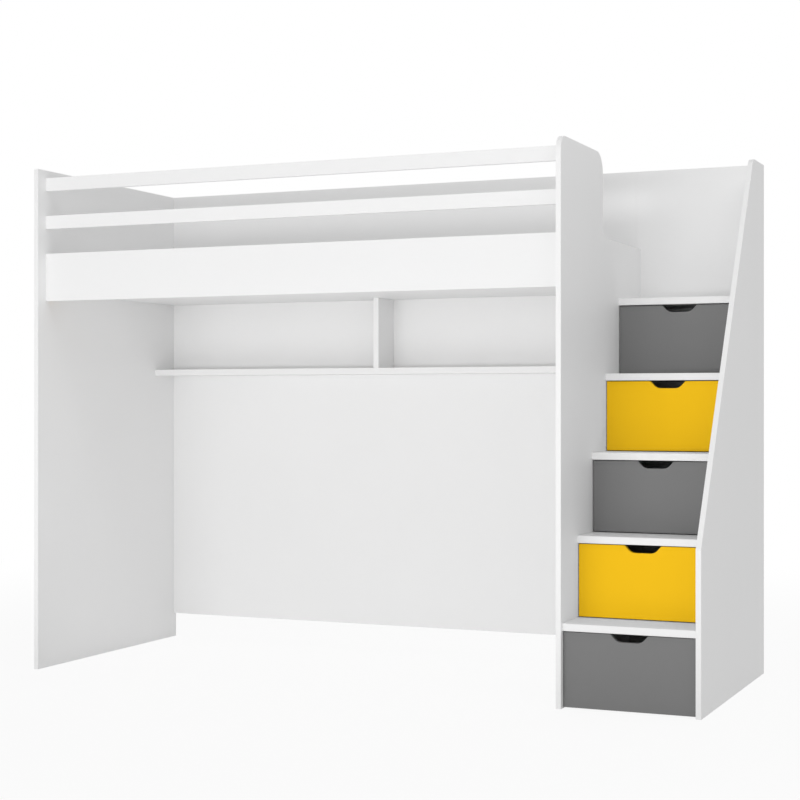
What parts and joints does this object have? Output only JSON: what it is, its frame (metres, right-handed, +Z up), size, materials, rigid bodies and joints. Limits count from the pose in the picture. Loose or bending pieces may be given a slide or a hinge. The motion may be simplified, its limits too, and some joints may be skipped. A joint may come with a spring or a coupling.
{
  "type": "loft bed",
  "caption": "Raised bed with guard rails over an open space, with a divided wall shelf below it and a staircase of notched drawers at its right-hand end.",
  "frame": {"origin": "on the floor at the middle of the outer length and depth", "axes": "+X along the bed towards the stairs, -Y towards the room, +Z up"},
  "size_m": [2.55, 1, 1.89],
  "materials": {
    "white_board": "white melamine, satin",
    "grey_front": "grey melamine, satin",
    "yellow_front": "yellow melamine, satin",
    "drawer_board": "white melamine, matt",
    "drawer_bottom": "lacquered hardboard",
    "pine": "planed softwood",
    "beech": "fluted hardwood",
    "zinc_steel": "zinc plated",
    "nylon": "moulded nylon"
  },
  "bodies": {
    "frame": {"left_end_panel": "white_board", "stair_inner_panel": "white_board", "stair_outer_panel": "white_board", "lower_back_panel": "white_board", "upper_back_panel": "white_board", "stair_back_panel": "white_board", "top_guard_rail": "white_board", "middle_guard_rail": "white_board", "front_board": "white_board", "base_batten": "pine", "base_board_left": "white_board", "base_board_right": "white_board", "wall_shelf": "white_board", "shelf_divider": "white_board", "tread_1": "white_board", "tread_2": "white_board", "tread_3": "white_board", "tread_4": "white_board", "tread_5": "white_board", "wood_dowels": "beech", "runner_channels": "zinc_steel", "channel_glides": "nylon"},
    "drawer_1": {"drawer_1_front": "grey_front", "drawer_1_left_side": "drawer_board", "drawer_1_right_side": "drawer_board", "drawer_1_back": "drawer_board", "drawer_1_bottom": "drawer_bottom", "drawer_1_rails": "zinc_steel", "drawer_1_rail_glides": "nylon"},
    "drawer_2": {"drawer_2_front": "yellow_front", "drawer_2_left_side": "drawer_board", "drawer_2_right_side": "drawer_board", "drawer_2_back": "drawer_board", "drawer_2_bottom": "drawer_bottom", "drawer_2_rails": "zinc_steel", "drawer_2_rail_glides": "nylon"},
    "drawer_3": {"drawer_3_front": "grey_front", "drawer_3_left_side": "drawer_board", "drawer_3_right_side": "drawer_board", "drawer_3_back": "drawer_board", "drawer_3_bottom": "drawer_bottom", "drawer_3_rails": "zinc_steel", "drawer_3_rail_glides": "nylon"},
    "drawer_4": {"drawer_4_front": "yellow_front", "drawer_4_left_side": "drawer_board", "drawer_4_right_side": "drawer_board", "drawer_4_back": "drawer_board", "drawer_4_bottom": "drawer_bottom", "drawer_4_rails": "zinc_steel", "drawer_4_rail_glides": "nylon"},
    "drawer_5": {"drawer_5_front": "grey_front", "drawer_5_left_side": "drawer_board", "drawer_5_right_side": "drawer_board", "drawer_5_back": "drawer_board", "drawer_5_bottom": "drawer_bottom", "drawer_5_rails": "zinc_steel", "drawer_5_rail_glides": "nylon"}
  },
  "joints": [
    {"name": "drawer_1_slide", "type": "slide", "parent": "frame", "child": "drawer_1", "axis": [0, -1, 0], "range_m": [0, 0.617]},
    {"name": "drawer_2_slide", "type": "slide", "parent": "frame", "child": "drawer_2", "axis": [0, -1, 0], "range_m": [0, 0.617]},
    {"name": "drawer_3_slide", "type": "slide", "parent": "frame", "child": "drawer_3", "axis": [0, -1, 0], "range_m": [0, 0.505]},
    {"name": "drawer_4_slide", "type": "slide", "parent": "frame", "child": "drawer_4", "axis": [0, -1, 0], "range_m": [0, 0.34]},
    {"name": "drawer_5_slide", "type": "slide", "parent": "frame", "child": "drawer_5", "axis": [0, -1, 0], "range_m": [0, 0.173]}
  ]
}
